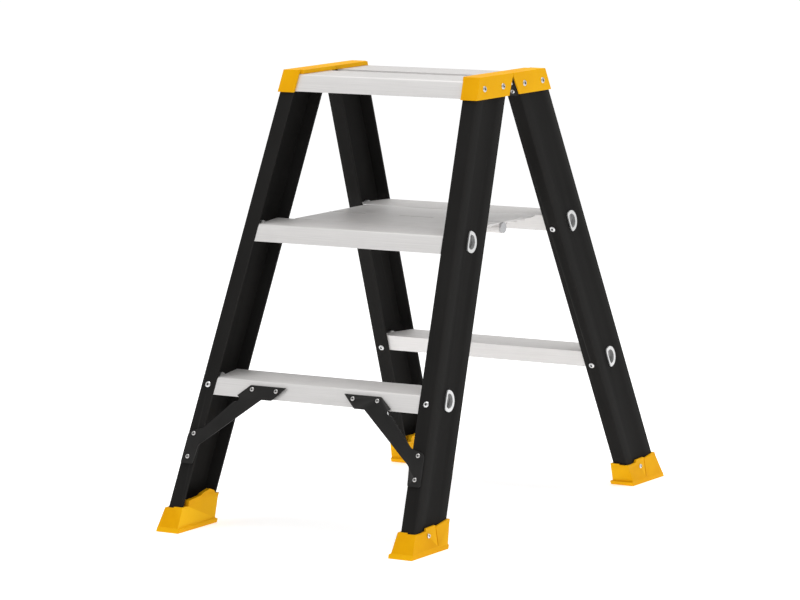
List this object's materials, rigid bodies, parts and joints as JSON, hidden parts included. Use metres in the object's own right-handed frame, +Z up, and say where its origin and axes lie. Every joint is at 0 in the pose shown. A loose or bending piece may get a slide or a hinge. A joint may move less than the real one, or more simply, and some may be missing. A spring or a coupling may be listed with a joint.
{
  "type": "double-sided step ladder",
  "caption": "Double-sided folding step ladder with grooved treads, a folding middle platform, moulded caps and moulded feet.",
  "frame": {"origin": "centre of the footprint on the floor, ladder open", "axes": "+Z up, +Y from the front frame to the rear frame, +X along the treads to the right of the front frame"},
  "size_m": [0.557, 0.949, 0.833],
  "materials": {
    "rail": "satin near-black coating",
    "tread": "satin extrusion",
    "moulding": "moulded yellow-orange",
    "bracket": "satin black",
    "rivet": "bright",
    "steel": "bright zinc"
  },
  "bodies": {
    "front_frame": {"boot_rivet_front_left": "rivet", "boot_rivet_front_right": "rivet", "brace_left": "bracket", "brace_right": "bracket", "brace_rivet_left_rail_lower": "rivet", "brace_rivet_left_rail_upper": "rivet", "brace_rivet_left_tread_inner": "rivet", "brace_rivet_left_tread_outer": "rivet", "brace_rivet_right_rail_lower": "rivet", "brace_rivet_right_rail_upper": "rivet", "brace_rivet_right_tread_inner": "rivet", "brace_rivet_right_tread_outer": "rivet", "front_boot_left": "moulding", "front_boot_right": "moulding", "front_cap_left": "moulding", "front_cap_right": "moulding", "front_hinge_leaf_left": "bracket", "front_hinge_leaf_right": "bracket", "front_rail_left": "rail", "front_rail_right": "rail", "front_tread_lower": "tread", "front_tread_middle": "tread", "front_tread_top": "tread", "front_tube_lower": "tread", "front_tube_middle": "tread", "hinge_pin_left": "steel", "hinge_pin_right": "steel", "platform_hinge_pin": "steel", "platform_hinge_strip": "tread", "tread_rivet_front_left": "rivet", "tread_rivet_front_right": "rivet"},
    "rear_frame": {"boot_rivet_rear_left": "rivet", "boot_rivet_rear_right": "rivet", "platform_ledge": "tread", "rear_boot_left": "moulding", "rear_boot_right": "moulding", "rear_cap_left": "moulding", "rear_cap_right": "moulding", "rear_hinge_leaf_left": "bracket", "rear_hinge_leaf_right": "bracket", "rear_rail_left": "rail", "rear_rail_right": "rail", "rear_tread_lower": "tread", "rear_tread_middle": "tread", "rear_tread_top": "tread", "rear_tube_lower": "tread", "rear_tube_middle": "tread", "tread_rivet_rear_lower_left": "rivet", "tread_rivet_rear_lower_right": "rivet", "tread_rivet_rear_middle_left": "rivet", "tread_rivet_rear_middle_right": "rivet"},
    "front_leaf": {"platform_front_leaf": "tread", "platform_rod": "steel"},
    "rear_leaf": {"platform_rear_leaf": "tread"}
  },
  "joints": [
    {"name": "rear_frame_fold", "type": "hinge", "parent": "front_frame", "child": "rear_frame", "pos_m": [0, 0, 0.8245], "axis": [-1, 0, 0], "range_deg": [0, 45]},
    {"name": "front_leaf_fold", "type": "hinge", "parent": "front_frame", "child": "front_leaf", "pos_m": [0, -0.127, 0.5475], "axis": [1, 0, 0], "range_deg": [0, 64]},
    {"name": "rear_leaf_fold", "type": "hinge", "parent": "front_leaf", "child": "rear_leaf", "pos_m": [0, 0, 0.5417], "axis": [-1, 0, 0], "range_deg": [0, 150]}
  ],
  "couplings": [
    {"joint": "front_leaf_fold", "follows": "rear_frame_fold", "ratio": 1.4222},
    {"joint": "rear_leaf_fold", "follows": "rear_frame_fold", "ratio": 3.3333}
  ]
}
